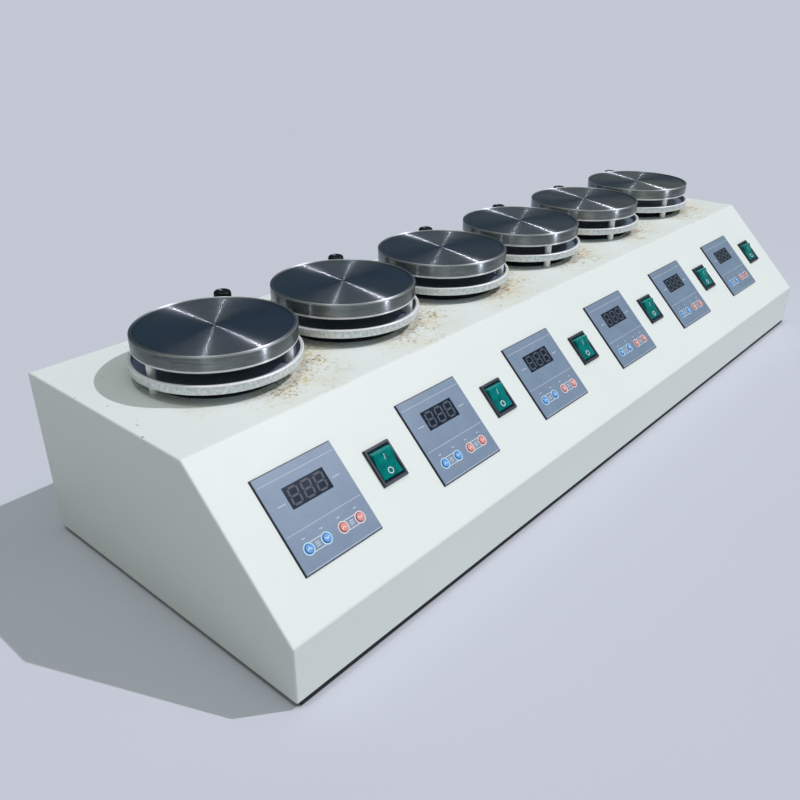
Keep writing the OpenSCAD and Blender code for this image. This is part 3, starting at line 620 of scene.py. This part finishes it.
class Piece:
    """One mesh in the making, shaped in edit mode by operators."""

    def __init__(self, name: str) -> None:
        """Leave object selection empty for a new piece."""
        self.name = name
        self.obj: Object | None = None
        bpy.ops.object.select_all(action="DESELECT")

    def _taken(self) -> "Piece":
        """Take up the first primitive as this piece, with its place in its mesh."""
        if self.obj is None:
            self.obj = bpy.context.object
            self.obj.name = self.obj.data.name = self.name
            bpy.ops.object.transform_apply(location=True, rotation=True, scale=True)
            bpy.ops.object.mode_set(mode="EDIT")
        return self

    def cylinder(self, radius: float, low: float, high: float, sides: int) -> "Piece":
        """Add an upright cylinder about the origin.

        Args:
            radius: Its radius.
            low: Its underside.
            high: Its top.
            sides: Its number of sides.

        Returns:
            The piece.
        """
        bpy.ops.mesh.primitive_cylinder_add(vertices=sides, radius=radius, depth=high - low,
                                            location=(0.0, 0.0, (low + high) / 2))
        return self._taken()

    def strip(self, width: float, height: float, at: Sequence[float], turn: float = 0.0) -> "Piece":
        """Add a flat rectangle.

        Args:
            width: Its size along X before it is turned.
            height: Its size along Y before it is turned.
            at: Its centre.
            turn: How far it is turned about its own axis.

        Returns:
            The piece.
        """
        bpy.ops.mesh.primitive_plane_add(size=1.0, location=at)
        self._taken()
        bpy.ops.transform.resize(value=(width, height, 1.0), center_override=at)
        if turn:
            bpy.ops.transform.rotate(value=-turn, orient_axis="Z", center_override=at)
        return self

    def _pick(self, mode: str, test: Callable[[Any], bool]) -> "Piece":
        """Select the faces or the edges that pass a test."""
        bpy.ops.mesh.select_mode(type=mode)
        bpy.ops.mesh.select_all(action="DESELECT")
        mesh = bmesh.from_edit_mesh(self.obj.data)
        mesh.normal_update()
        for item in mesh.faces if mode == "FACE" else mesh.edges:
            if test(item):
                item.select_set(True)
        bmesh.update_edit_mesh(self.obj.data)
        return self

    def faces(self, test: Callable[[Vector, Vector], bool]) -> "Piece":
        """Select the faces whose middle and normal pass a test."""
        return self._pick("FACE", lambda face: test(face.calc_center_median(), face.normal))

    def round_ends(self, low: float, high: float, width: float) -> "Piece":
        """Bevel the edges at the top, and then those at the underside.

        Args:
            low: The underside.
            high: The top.
            width: The width of the bevel.

        Returns:
            The piece.
        """
        for test in (lambda edge: min(end.co.z for end in edge.verts) > high - NEAR,
                     lambda edge: max(end.co.z for end in edge.verts) < low + NEAR):
            self._pick("EDGE", test)
            bpy.ops.mesh.bevel(offset=width, segments=BEVEL_STEPS, affect="EDGES")
        return self

    def inset(self, thickness: float, depth: float = 0.0) -> "Piece":
        """Inset what is selected."""
        bpy.ops.mesh.inset(thickness=thickness, depth=depth)
        return self

    def extrude(self, height: float) -> "Piece":
        """Extrude what is selected, upwards."""
        bpy.ops.mesh.extrude_region_move(TRANSFORM_OT_translate={"value": (0.0, 0.0, height)})
        return self

    def ring(self, radius: float, width: float, at: Sequence[float], sides: int) -> "Piece":
        """Add a flat ring.

        Args:
            radius: Its outer radius.
            width: The width of its band.
            at: Its centre.
            sides: Its number of sides.

        Returns:
            The piece.
        """
        bpy.ops.mesh.primitive_circle_add(vertices=sides, radius=radius, fill_type="NGON",
                                          location=at)
        self._taken().inset(width)
        bpy.ops.mesh.delete(type="FACE")
        return self

    def close(self, finish: Material, thick: float = 0.0, edge: float = 0.0) -> Object:
        """Finish the mesh.

        Args:
            finish: Its material.
            thick: The thickness given to flat faces, upwards.
            edge: The width of the bevel on its sharp edges.

        Returns:
            The finished object.
        """
        bpy.ops.mesh.select_all(action="SELECT")
        bpy.ops.mesh.remove_doubles(threshold=WELD)
        if not thick:
            bpy.ops.mesh.normals_make_consistent(inside=False)
        bpy.ops.object.mode_set(mode="OBJECT")
        if thick:
            wall = self.obj.modifiers.new("thickness", "SOLIDIFY")
            wall.thickness = thick
            wall.offset = 1.0
            bpy.ops.object.modifier_apply(modifier=wall.name)
        if edge:
            soften(self.obj, edge)
        return coat(self.obj, finish)


def soften(obj: Object, width: float) -> None:
    """Round the sharp edges of the active object by a width."""
    bevel = obj.modifiers.new("edges", "BEVEL")
    bevel.width = width
    bevel.segments = SOFT_STEPS
    bevel.limit_method = "ANGLE"
    bevel.angle_limit = SHARP_ANGLE
    bpy.ops.object.modifier_apply(modifier=bevel.name)


def coat(obj: Object, finish: Material) -> Object:
    """Shade the active object, put its finish on it and give it back."""
    bpy.ops.object.shade_smooth_by_angle(angle=SMOOTH_ANGLE)
    obj.data.materials.clear()
    obj.data.materials.append(finish)
    return obj


def added(name: str, data: bpy.types.ID) -> Object:
    """Add an object with its data to the scene."""
    obj = bpy.data.objects.new(name, data)
    bpy.context.scene.collection.objects.link(obj)
    return obj


def from_node(node: str, name: str, finish: Material, width: float) -> Object:
    """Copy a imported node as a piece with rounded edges.

    Args:
        node: The node.
        name: The new piece.
        finish: Its material.
        width: The width of the rounding.

    Returns:
        The piece, with its place in its mesh.
    """
    bpy.ops.object.select_all(action="DESELECT")
    obj = added(name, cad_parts[node].data.copy())
    obj.select_set(True)
    bpy.context.view_layer.objects.active = obj
    bpy.ops.object.mode_set(mode="EDIT")
    bpy.ops.mesh.select_all(action="SELECT")
    bpy.ops.mesh.remove_doubles(threshold=NEAR)
    bpy.ops.mesh.dissolve_limited(angle_limit=FLAT_ANGLE)
    bpy.ops.object.mode_set(mode="OBJECT")
    soften(obj, width)
    return coat(obj, finish)


def settle(obj: Object, body: str, slot: str, *nodes: str) -> None:
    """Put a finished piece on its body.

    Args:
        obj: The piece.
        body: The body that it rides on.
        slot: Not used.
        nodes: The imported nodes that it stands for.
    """
    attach(obj, body)
    if nodes:
        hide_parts(*nodes)
    log.info("%s on %s", obj.name, body)


def lay_out(master: Object, stem: str, place: Callable[[int], Matrix], slot: str, *nodes: str,
            body: str = "") -> None:
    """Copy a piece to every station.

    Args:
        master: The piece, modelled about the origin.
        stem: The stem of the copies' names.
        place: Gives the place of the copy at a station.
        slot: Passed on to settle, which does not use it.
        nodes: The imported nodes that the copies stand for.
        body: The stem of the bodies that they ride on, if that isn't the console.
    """
    for index in range(1, STATIONS + 1):
        twin = added(f"{stem}_{index}", master.data.copy())
        twin.data.transform(place(index))
        settle(twin, f"{body}_{index}" if body else ROOT, slot, *nodes)
    bpy.data.objects.remove(master)


def dress(finish: Material, *nodes: str) -> None:
    """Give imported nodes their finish.

    Args:
        finish: The material.
        nodes: The nodes.
    """
    for node in nodes:
        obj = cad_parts[node]
        if not obj.material_slots:
            obj.data.materials.append(finish)
        for place in obj.material_slots:
            place.material = finish
        log.info("%s dressed", node)


def along(index: int, pitch: float) -> float:
    """The place of one of a row of stations, counted from 1, about the middle."""
    return (index - (STATIONS + 1) / 2) * pitch


def each(stem: str) -> list[str]:
    """The names of a piece that every station has."""
    return [f"{stem}_{index}" for index in range(1, STATIONS + 1)]


@dataclass(frozen=True)
class Slope:
    """The sloping front: a frame with X along it, Y up it and Z out of it."""

    front_y: float = -147.25 * MM
    top_y: float = -51.25 * MM
    lip_z: float = 49.5 * MM
    control_pitch: float = 140.5 * MM
    panel_shift: float = -22.75 * MM
    switch_shift: float = 45.75 * MM
    switch_rise: float = 2.0 * MM

    def at(self, x: float, rise: float = 0.0) -> Matrix:
        """The frame of a place on the slope.

        Args:
            x: Where along it.
            rise: How far up from its middle line.

        Returns:
            The matrix of that frame.
        """
        tilt = math.atan2(DECK_Z - self.lip_z, self.top_y - self.front_y)
        middle = Vector((x, (self.front_y + self.top_y) / 2, (self.lip_z + DECK_Z) / 2))
        return (Matrix.Translation(middle) @ Matrix.Rotation(tilt, 4, "X")
                @ Matrix.Translation((0.0, rise, 0.0)))

    def panel(self, index: int) -> Matrix:
        """The frame of a controller."""
        return self.at(along(index, self.control_pitch) + self.panel_shift)

    def switch(self, index: int) -> Matrix:
        """The frame of a switch."""
        return self.at(along(index, self.control_pitch) + self.switch_shift, self.switch_rise)


@dataclass
class Console:
    """The folded cover, its base, and everything inside that needs no piece of its own."""

    kit: Kit
    lip_y: float = -147.0 * MM
    lip_low: float = 5.0 * MM
    # A black strip under the lip, standing in for the shadow there
    shadow_strip_half: float = 439.0 * MM
    shadow_strip_depth: float = 2.5 * MM
    shadow_strip_height: float = 4.3 * MM
    shadow_strip_edge: float = 0.3 * MM

    def dress(self) -> None:
        """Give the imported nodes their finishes, apart from the keys and the knobs."""
        kit = self.kit
        dress(kit.paint, "housing_cover")
        dress(kit.zinc_sheet, "base_plate", "motor_brackets")
        dress(kit.zinc_steel, "base_screws", "speed_pots")
        dress(kit.rubber, "rubber_feet")
        dress(kit.post, "spacer_posts")
        dress(kit.mica, "heaters")
        dress(kit.motor, "stir_motors")
        dress(kit.magnet, *each("drive_magnet"))
        dress(kit.board, "controller_boards")
        dress(kit.black, "power_inlet", "controller_bezels", "switch_frames")
        dress(kit.brass, "inlet_pins")
        dress(kit.plate, "hot_plates")
        dress(kit.tray, "heat_trays")
        dress(kit.film, "face_films")
        dress(kit.window, "display_windows")
        dress(kit.rocker, *each("rocker"))

    def build(self) -> None:
        """Run a black strip along the underside of the lip, painted shadow standing in for the
        shade under it.
        """
        piece = Piece("lip_shadow_strip").strip(2 * self.shadow_strip_half, self.shadow_strip_depth,
                                        (0.0, self.lip_y + self.shadow_strip_depth / 2, self.lip_low))
        piece.faces(lambda c, n: True).extrude(-self.shadow_strip_height)
        settle(piece.close(self.kit.shadow_strip, edge=self.shadow_strip_edge), ROOT, "black_rubber")


@dataclass
class HeatingPlace:
    """One hot plate over its tray, repeated along the deck."""

    kit: Kit
    plate_radius: float = 62.5 * MM
    plate_low: float = 23.5 * MM
    plate_high: float = 35.7 * MM
    plate_edge: float = 0.8 * MM
    plate_rim: float = 3.0 * MM
    face_step: float = 0.4 * MM
    pocket_radius: float = 48.5 * MM
    pocket_depth: float = 6.5 * MM
    tray_radius: float = 66.0 * MM
    tray_low: float = 8.5 * MM
    tray_high: float = 15.5 * MM
    tray_floor: float = 2.5 * MM
    tray_rim: float = 3.0 * MM
    tray_edge: float = 0.7 * MM
    # A dark ring on the deck under each tray, standing in for the shade there
    gasket_radius: float = 53.5 * MM
    gasket_band: float = 16.5 * MM
    gasket_thick: float = 0.8 * MM
    gasket_edge: float = 0.2 * MM
    sides: int = 160

    @staticmethod
    def middle(index: int) -> Matrix:
        """The middle of a plate's place on the deck."""
        return Matrix.Translation((along(index, PLATE_PITCH), PLATE_Y, DECK_Z))

    def build(self) -> None:
        """Model the plate, the tray and the dark shade ring once, and copy them."""
        lay_out(self.plate(), "hot_plate", self.middle, "turned_steel", "hot_plates")
        lay_out(self.tray(), "heat_tray", self.middle, "tray_aluminium", "heat_trays")
        lay_out(self.gasket(), "deck_shade_ring", self.middle, "black_rubber")

    def plate(self) -> Object:
        """Model the turned plate, with the rim round its face and the pocket under it."""
        low, high, edge = self.plate_low, self.plate_high, self.plate_edge
        piece = Piece("hot_plate").cylinder(self.plate_radius, low, high, self.sides)
        piece.round_ends(low, high, edge)
        piece.faces(lambda c, n: n.z < -LEVEL).inset(self.plate_radius - edge - self.pocket_radius)
        piece.extrude(self.pocket_depth)
        piece.faces(lambda c, n: n.z > LEVEL and c.xy.length < CENTRE)
        piece.inset(self.plate_rim - edge)
        piece.inset(self.face_step, -self.face_step)
        return piece.close(self.kit.plate)

    def tray(self) -> Object:
        """Model the dished tray."""
        low, high = self.tray_low, self.tray_high
        piece = Piece("heat_tray").cylinder(self.tray_radius, low, high, self.sides)
        piece.faces(lambda c, n: n.z > LEVEL).inset(self.tray_rim)
        piece.faces(lambda c, n: n.z > LEVEL and c.xy.length < CENTRE)
        piece.extrude(low + self.tray_floor - high)
        return piece.round_ends(low, high, self.tray_edge).close(self.kit.tray)

    def gasket(self) -> Object:
        """Model the dark ring on the deck under the tray, painted shade standing in for the tray's
        shadow.
        """
        piece = Piece("deck_shade_ring").ring(self.gasket_radius, self.gasket_band, (0.0, 0.0, 0.0),
                                          self.sides)
        return piece.close(self.kit.gasket, self.gasket_thick, self.gasket_edge)


class Key(Enum):
    """The four keys of a controller, from left to right, each with its arrow's turn."""

    BLUE_UP = ("blue_key_up", 90.0)
    BLUE_DOWN = ("blue_key_down", -90.0)
    RED_UP = ("red_key_up", 90.0)
    RED_DOWN = ("red_key_down", -90.0)

    @property
    def stem(self) -> str:
        """The stem of its node's name."""
        return self.value[0]

    @property
    def turn(self) -> float:
        """The way its arrow points, in radians."""
        return math.radians(self.value[1])

    @property
    def is_blue(self) -> bool:
        """Whether it is of the blue pair."""
        return self.stem.startswith("blue")


@dataclass
class Controller:
    """The printed face of a temperature controller, its display and its keys."""

    kit: Kit
    slope: Slope
    face: float = 1.5 * MM
    half_width: float = 33.6 * MM
    upper_line: float = 28.8 * MM
    lower_line: float = -8.0 * MM
    foot_line: float = -34.4 * MM
    line: float = 0.42 * MM
    dash: Span = (7.0 * MM, 0.7 * MM)
    dash_out: float = 6.2 * MM
    dash_drop: float = 2.0 * MM
    window_rise: float = 13.7 * MM
    window_half: float = 18.25 * MM
    key_row: float = -21.1 * MM
    key_pitch: float = 15.7 * MM
    key_top: float = 2.3 * MM
    ring_radius: float = 4.5 * MM
    ring_line: float = 0.85 * MM
    ring_sides: int = 40
    link_rise: float = 3.6 * MM
    link_gap: float = 5.4 * MM
    link_line: float = 0.5 * MM
    mark: Span = (3.4 * MM, 0.45 * MM)
    mark_pitch: float = 1.3 * MM
    arrow_bar: Span = (2.6 * MM, 0.75 * MM)
    lamp: Span = (2.8 * MM, 0.8 * MM)
    lamp_row: float = -13.6 * MM
    ink: float = 0.05 * MM
    digits: int = 3
    digit_pitch: float = 11.4 * MM
    digit_half: Span = (3.7 * MM, 5.9 * MM)
    digit_slant: float = 0.5 * MM
    segment: float = 1.5 * MM
    segment_gap: Span = (1.6 * MM, 1.0 * MM)
    segment_turn: float = math.radians(-5)
    segment_ink: float = 0.02 * MM

    def key_x(self, number: int) -> float:
        """Where a key is along the row, counted from 0."""
        return (number - (len(Key) - 1) / 2) * self.key_pitch

    def build(self) -> None:
        """Model the print, the display and the arrows once, and copy them."""
        dress(self.kit.blue, *each("blue_key_up"), *each("blue_key_down"))
        dress(self.kit.red, *each("red_key_up"), *each("red_key_down"))
        panel = self.slope.panel
        lay_out(self.rules(), "face_rules", panel, "grey_film")
        lay_out(self.key_rings(True), "blue_key_rings", panel, "grey_film")
        lay_out(self.key_rings(False), "red_key_rings", panel, "grey_film")
        lay_out(self.key_links(), "key_links", panel, "grey_film")
        lay_out(self.display(), "display_digits", panel, "dark_window")
        for number, key in enumerate(Key):
            slot = "blue_key" if key.is_blue else "red_key"
            lay_out(self.arrow(number, key), f"{key.stem}_arrow", panel, slot, body=key.stem)

    def rules(self) -> Object:
        """Model the printed rules, the dashes by the window and the indicator marks."""
        piece = Piece("face_rules")
        for rise in (self.upper_line, self.lower_line, self.foot_line):
            piece.strip(2 * self.half_width, self.line, (0.0, rise, self.face))
        for side in (-1, 1):
            middle = side * (self.window_half + self.dash_out)
            piece.strip(*self.dash, (middle, self.window_rise - self.dash_drop, self.face))
        for number in range(len(Key)):
            piece.strip(*self.lamp, (self.key_x(number), self.lamp_row, self.face))
        return piece.close(self.kit.pale_ink, self.ink)

    def key_rings(self, blue: bool) -> Object:
        """Model the ring round each key of a pair.

        Args:
            blue: Whether it is the blue pair.

        Returns:
            The print.
        """
        piece = Piece("key_rings")
        for number, key in enumerate(Key):
            if key.is_blue == blue:
                at = (self.key_x(number), self.key_row, self.face)
                piece.ring(self.ring_radius, self.ring_line, at, self.ring_sides)
        return piece.close(self.kit.blue_ink if blue else self.kit.red_ink, self.ink)

    def key_links(self) -> Object:
        """Model the lines that join the keys of each pair, and the mark between them."""
        piece = Piece("key_links")
        for first in range(0, len(Key), 2):
            middle = (self.key_x(first) + self.key_x(first + 1)) / 2
            for side in (-1, 1):
                at = (middle, self.key_row + side * self.link_rise, self.face)
                piece.strip(self.key_pitch - self.link_gap, self.link_line, at)
            for step in (-1, 0, 1):
                at = (middle, self.key_row + step * self.mark_pitch, self.face)
                piece.strip(*self.mark, at)
        return piece.close(self.kit.white_ink, self.ink)

    def display(self) -> Object:
        """Model the unlit segments of the display."""
        piece = Piece("display_digits")
        wide, tall = self.digit_half
        for number in range(self.digits):
            x = (number - (self.digits - 1) / 2) * self.digit_pitch
            for level in (-1, 0, 1):
                at = (x + level * self.digit_slant, self.window_rise + level * tall, self.face)
                piece.strip(2 * wide - self.segment_gap[0], self.segment, at)
            for level in (-1, 1):
                for side in (-1, 1):
                    shift = side * wide + level * self.digit_slant / 2
                    at = (x + shift, self.window_rise + level * tall / 2, self.face)
                    piece.strip(self.segment, tall - self.segment_gap[1], at, self.segment_turn)
        return piece.close(self.kit.ghost, self.segment_ink)

    def arrow(self, number: int, key: Key) -> Object:
        """Model the arrow on a key.

        Args:
            number: The key's place in the row, counted from 0.
            key: The key.

        Returns:
            The arrow.
        """
        piece = Piece("arrow")
        for side in (-1, 1):
            at = (self.key_x(number) + side * self.arrow_bar[1], self.key_row, self.key_top)
            piece.strip(*self.arrow_bar, at, -side * key.turn / 2)
        return piece.close(self.kit.white_ink, self.ink)


@dataclass
class PowerSwitch:
    """A rocker with its ring and bar marks."""

    kit: Kit
    slope: Slope
    face: float = 1.5 * MM
    vertex: float = -0.78 * MM
    lean: float = math.radians(20)
    edge: float = 0.45 * MM
    ring_radius: float = 2.6 * MM
    ring_line: float = 0.7 * MM
    ring_sides: int = 36
    bar: Span = (0.8 * MM, 4.6 * MM)
    ink: float = 0.06 * MM
    mark_at: float = 5.6 * MM

    def build(self) -> None:
        """Round the rockers and print their marks."""
        for body, cap in zip(each("rocker"), each("rocker_cap")):
            settle(from_node(body, cap, self.kit.rocker, self.edge), body, "green_rocker", body)
        flat = Matrix.Translation((0.0, self.vertex, self.face))
        raised = flat @ Matrix.Rotation(self.lean, 4, "X")
        lay_out(self.off_mark(), "off_mark", lambda index: self.slope.switch(index) @ flat,
                "green_rocker", body="rocker")
        lay_out(self.on_mark(), "on_mark", lambda index: self.slope.switch(index) @ raised,
                "green_rocker", body="rocker")

    def off_mark(self) -> Object:
        """Model the ring on the lower face."""
        piece = Piece("off_mark").ring(self.ring_radius, self.ring_line, (0.0, -self.mark_at, 0.0),
                                       self.ring_sides)
        return piece.close(self.kit.white_ink, self.ink)

    def on_mark(self) -> Object:
        """Model the bar on the raised face."""
        piece = Piece("on_mark").strip(*self.bar, (0.0, self.mark_at, 0.0))
        return piece.close(self.kit.pale_ink, self.ink)


@dataclass
class SpeedKnob:
    """A fluted knob with its pointer line."""

    kit: Kit
    offset_x: float = 62.0 * MM
    y: float = 114.25 * MM
    top: float = 174.0 * MM
    pointer: Span = (0.9 * MM, 4.0 * MM)
    pointer_out: float = 2.6 * MM
    ink: float = 0.05 * MM

    def place(self, index: int) -> Matrix:
        """The middle of a knob's top."""
        return Matrix.Translation((along(index, PLATE_PITCH) + self.offset_x, self.y, self.top))

    def build(self) -> None:
        """Dress the knobs and lay a pointer line on each."""
        dress(self.kit.knob, *each("speed_knob"))
        piece = Piece("pointer").strip(*self.pointer, (0.0, self.pointer_out, 0.0))
        lay_out(piece.close(self.kit.white_ink, self.ink), "knob_pointer", self.place,
                "black_knob", body="speed_knob")


@dataclass(frozen=True)
class Lamp:
    """A far lamp: the way towards it, its colour, its strength and how wide it looks in degrees."""

    name: str
    towards: Way
    colour: Colour
    strength: float
    angle: float

    def hang(self) -> None:
        """Hang the lamp."""
        data = bpy.data.lights.new(self.name, "SUN")
        data.energy = self.strength
        data.color = self.colour
        data.angle = math.radians(self.angle)
        turn = Vector(self.towards).to_track_quat("Z", "Y")
        added(self.name, data).rotation_euler = turn.to_euler()


@dataclass
class Studio:
    """The floor, the lamps and the camera."""

    kit: Kit
    eye: Way = (-674.71 * MM, -436.98 * MM, 404.43 * MM)
    aim: Way = (-173.2 * MM, 4.37 * MM, 65.0 * MM)
    lens: float = 36.41
    sensor: float = 36.0
    nearest: float = 0.01
    floor_size: float = 400.0
    floor_cells: int = 4
    key: Lamp = Lamp("key", (0.505, -0.390, 0.771), (0.99, 0.97, 1.08), 1.80, 0.5)
    overhead: Lamp = Lamp("overhead", (-0.15, 0.07, 0.98), (0.93, 1.00, 1.08), 0.42, 1.6)
    bright_side: Way = (0.55, -0.80, 0.20)
    dark_side: Way = (0.47, 0.69, 0.55)
    window_side: Way = (-0.719, -0.695, 0.12)
    bright: Colour = (0.253, 0.275, 0.251)
    dim: Colour = (0.106, 0.111, 0.096)
    ceiling: Colour = (0.755, 0.779, 0.724)
    dark: Colour = (0.049, 0.083, 0.129)
    pane: Colour = (1.20, 1.24, 1.06)
    bright_span: Span = (-0.5, 0.9)
    ceiling_span: Span = (0.62, 0.94)
    dark_span: Span = (0.66, 0.97)
    pane_span: Span = (0.975, 0.997)

    def build(self) -> None:
        """Set the stage."""
        self.floor()
        self.camera()
        self.key.hang()
        self.overhead.hang()
        self.world()

    def floor(self) -> None:
        """Lay the floor."""
        bpy.ops.object.select_all(action="DESELECT")
        bpy.ops.mesh.primitive_grid_add(x_subdivisions=self.floor_cells,
                                        y_subdivisions=self.floor_cells, size=self.floor_size)
        plane = bpy.context.object
        plane.name = "studio_floor"
        plane.data.materials.append(self.kit.floor)

    def camera(self) -> None:
        """Stand the camera where the photograph was taken."""
        data = bpy.data.cameras.new("camera")
        data.sensor_width = self.sensor
        data.lens = self.lens
        data.clip_start = self.nearest
        data.clip_end = 2 * self.floor_size
        obj = added("camera", data)
        obj.location = self.eye
        look = Vector(self.aim) - Vector(self.eye)
        obj.rotation_euler = look.to_track_quat("-Z", "Y").to_euler()
        bpy.context.scene.camera = obj

    def world(self) -> None:
        """Light the room: pale above and to the right, a window at the left, a dark far corner."""
        world = bpy.data.worlds.new("room")
        bpy.context.scene.world = world
        room = Graph(world)
        way = room.node("ShaderNodeTexCoord", output="Generated")
        lit, unlit, glazed = (room.node("ShaderNodeVectorMath", {"operation": "DOT_PRODUCT"},
                                        {0: way, 1: Vector(side).normalized()}, "Value")
                              for side in (self.bright_side, self.dark_side, self.window_side))
        height = room.node("ShaderNodeSeparateXYZ", None, {0: way}, 2)
        tone = room.blend(lit.ease(*self.bright_span), self.dim, self.bright)
        tone = room.blend(height.ease(*self.ceiling_span), tone, self.ceiling)
        tone = room.blend(unlit.ease(*self.dark_span), tone, self.dark)
        tone = room.blend(glazed.ease(*self.pane_span), tone, self.pane)
        light = room.node("ShaderNodeBackground", None, {"Color": tone})
        room.node("ShaderNodeOutputWorld", None, {"Surface": light})


def main() -> None:
    """Build the stage and every part of the stirrer."""
    logging.basicConfig(level=logging.INFO, format="%(message)s")
    bpy.context.scene.view_settings.view_transform = "Standard"
    kit = Kit()
    slope = Slope()
    Studio(kit).build()
    console = Console(kit)
    console.dress()
    console.build()
    HeatingPlace(kit).build()
    Controller(kit, slope).build()
    PowerSwitch(kit, slope).build()
    SpeedKnob(kit).build()


if __name__ == "__main__":
    main()
